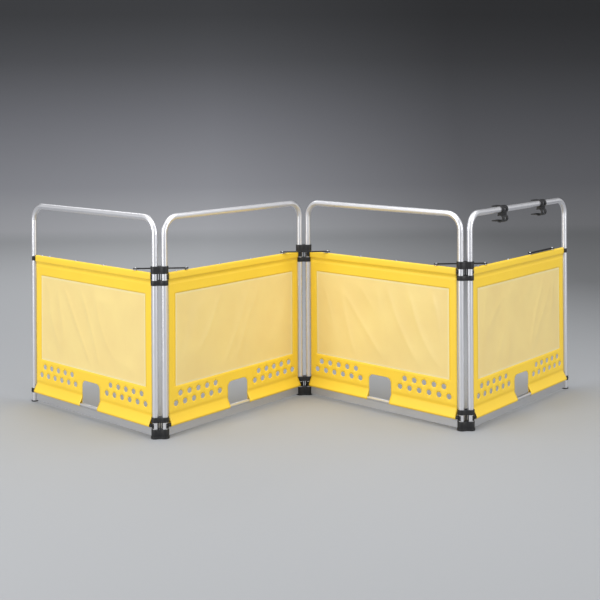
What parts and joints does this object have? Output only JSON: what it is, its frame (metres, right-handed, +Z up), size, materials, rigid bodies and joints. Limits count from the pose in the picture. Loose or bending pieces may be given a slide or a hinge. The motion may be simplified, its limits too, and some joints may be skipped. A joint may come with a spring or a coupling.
{
  "type": "folding barrier",
  "caption": "Folding work-area barrier of hooped tube frames with sheet infills, hinge blocks, stay links and rail clips.",
  "frame": {"origin": "at floor level under the middle of the row of panels", "axes": "+X along the row, -Y towards the panels' faces, +Z up"},
  "size_m": [2.7652, 0.6874, 1.0051],
  "materials": {
    "hoop_tube": "bright drawn and clear anodised",
    "bar_aluminium": "mill",
    "board_aluminium": "satin anodised",
    "steel_fixings": "nickel plated",
    "yellow_pvc": "PVC-coated polyester, semi-gloss",
    "window_film": "tinted clear PVC film",
    "black_nylon": "glass-filled nylon, fine texture",
    "black_steel": "black powder coat"
  },
  "bodies": {
    "panel_1": {"hoop_1": "hoop_tube", "top_bar_1": "bar_aluminium", "bottom_rod_1": "bar_aluminium", "end_fittings_1": "black_nylon", "fitting_screws_1": "black_steel", "sheet_1": "yellow_pvc", "window_1": "window_film", "toe_board_1": "board_aluminium", "board_rivets_1": "steel_fixings", "studs_1": "steel_fixings", "foot_cap_left": "black_nylon"},
    "panel_2": {"hoop_2": "hoop_tube", "top_bar_2": "bar_aluminium", "bottom_rod_2": "bar_aluminium", "end_fittings_2": "black_nylon", "fitting_screws_2": "black_steel", "sheet_2": "yellow_pvc", "window_2": "window_film", "toe_board_2": "board_aluminium", "board_rivets_2": "steel_fixings", "studs_2": "steel_fixings"},
    "panel_3": {"hoop_3": "hoop_tube", "top_bar_3": "bar_aluminium", "bottom_rod_3": "bar_aluminium", "end_fittings_3": "black_nylon", "fitting_screws_3": "black_steel", "sheet_3": "yellow_pvc", "window_3": "window_film", "toe_board_3": "board_aluminium", "board_rivets_3": "steel_fixings", "studs_3": "steel_fixings"},
    "panel_4": {"hoop_4": "hoop_tube", "top_bar_4": "bar_aluminium", "bottom_rod_4": "bar_aluminium", "end_fittings_4": "black_nylon", "fitting_screws_4": "black_steel", "sheet_4": "yellow_pvc", "window_4": "window_film", "toe_board_4": "board_aluminium", "board_rivets_4": "steel_fixings", "studs_4": "steel_fixings", "foot_cap_right": "black_nylon"},
    "hinge_12": {"top_hinge_12": "black_nylon", "bottom_hinge_12": "black_nylon"},
    "hinge_23": {"top_hinge_23": "black_nylon", "bottom_hinge_23": "black_nylon"},
    "hinge_34": {"top_hinge_34": "black_nylon", "bottom_hinge_34": "black_nylon"},
    "link_1": {"stay_link_1": "black_steel", "link_snap_1": "steel_fixings"},
    "link_2": {"stay_link_2": "black_steel", "link_snap_2": "steel_fixings"},
    "link_3": {"stay_link_3": "black_steel", "link_snap_3": "steel_fixings"},
    "link_4": {"stay_link_4": "black_steel", "link_snap_4": "steel_fixings"},
    "clip_1": {"double_clip_1": "black_nylon"},
    "clip_2": {"double_clip_2": "black_nylon"}
  },
  "joints": [
    {"name": "fold_12", "type": "hinge", "parent": "hinge_12", "child": "panel_1", "pos_m": [-0.71504, -0.32527, 0], "axis": [0, 0, -1], "range_deg": [-90, 45]},
    {"name": "fold_12_far", "type": "hinge", "parent": "panel_2", "child": "hinge_12", "pos_m": [-0.67204, -0.32527, 0], "axis": [0, 0, -1], "range_deg": [-90, 45]},
    {"name": "fold_23", "type": "hinge", "parent": "hinge_23", "child": "panel_2", "pos_m": [-0.0215, 0.32527, 0], "axis": [0, 0, 1], "range_deg": [-90, 45]},
    {"name": "fold_23_far", "type": "hinge", "parent": "hinge_23", "child": "panel_3", "pos_m": [0.0215, 0.32527, 0], "axis": [0, 0, -1], "range_deg": [-90, 45]},
    {"name": "fold_34", "type": "hinge", "parent": "panel_3", "child": "hinge_34", "pos_m": [0.67204, -0.32527, 0], "axis": [0, 0, 1], "range_deg": [-90, 45]},
    {"name": "fold_34_far", "type": "hinge", "parent": "hinge_34", "child": "panel_4", "pos_m": [0.71504, -0.32527, 0], "axis": [0, 0, 1], "range_deg": [-90, 45]},
    {"name": "stay_1", "type": "hinge", "parent": "panel_1", "child": "link_1", "pos_m": [-0.80838, -0.23193, 0.746], "axis": [0, 0, 1], "range_deg": [0, 135]},
    {"name": "stay_2", "type": "hinge", "parent": "panel_2", "child": "link_2", "pos_m": [-0.11484, 0.23193, 0.746], "axis": [0, 0, -1], "range_deg": [0, 135]},
    {"name": "stay_3", "type": "hinge", "parent": "panel_3", "child": "link_3", "pos_m": [0.5787, -0.23193, 0.746], "axis": [0, 0, 1], "range_deg": [0, 135]},
    {"name": "stay_4", "type": "hinge", "parent": "panel_4", "child": "link_4", "pos_m": [1.27224, 0.23193, 0.746], "axis": [0, 0, 1], "range_deg": [-135, 0]},
    {"name": "clip_1_turn", "type": "hinge", "parent": "panel_4", "child": "clip_1", "pos_m": [0.9201, -0.12021, 0.986], "axis": [0.7071, 0.7071, 0], "range_deg": [-90, 90]},
    {"name": "clip_2_turn", "type": "hinge", "parent": "panel_4", "child": "clip_2", "pos_m": [1.1888, 0.14849, 0.986], "axis": [0.7071, 0.7071, 0], "range_deg": [-90, 90]}
  ]
}
